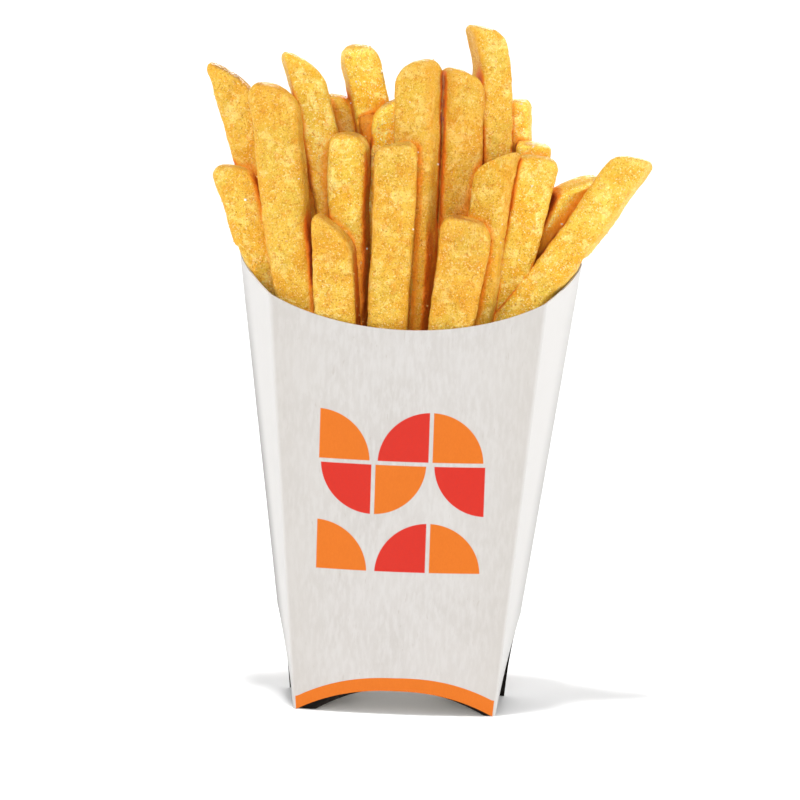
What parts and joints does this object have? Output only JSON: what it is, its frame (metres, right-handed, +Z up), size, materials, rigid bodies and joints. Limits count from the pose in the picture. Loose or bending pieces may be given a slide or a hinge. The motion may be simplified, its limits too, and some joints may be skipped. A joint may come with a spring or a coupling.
{
  "type": "french fries in a carton",
  "caption": "Long french fries standing in a tapered paperboard scoop carton with a scooped front rim and an arched base.",
  "frame": {"origin": "middle of the footprint of the whole part's box, at the height of the carton's feet", "axes": "+Z up, +X to the right of the scooped front, +Y away from the front"},
  "size_m": [0.1162, 0.0438, 0.1784],
  "materials": {
    "carton": "white-coated paperboard with a fine fibre grain, satin",
    "fries": "golden fried potato, grainy and slightly oily"
  },
  "bodies": {
    "root": {"carton": "carton", "fries": "fries"}
  },
  "joints": []
}
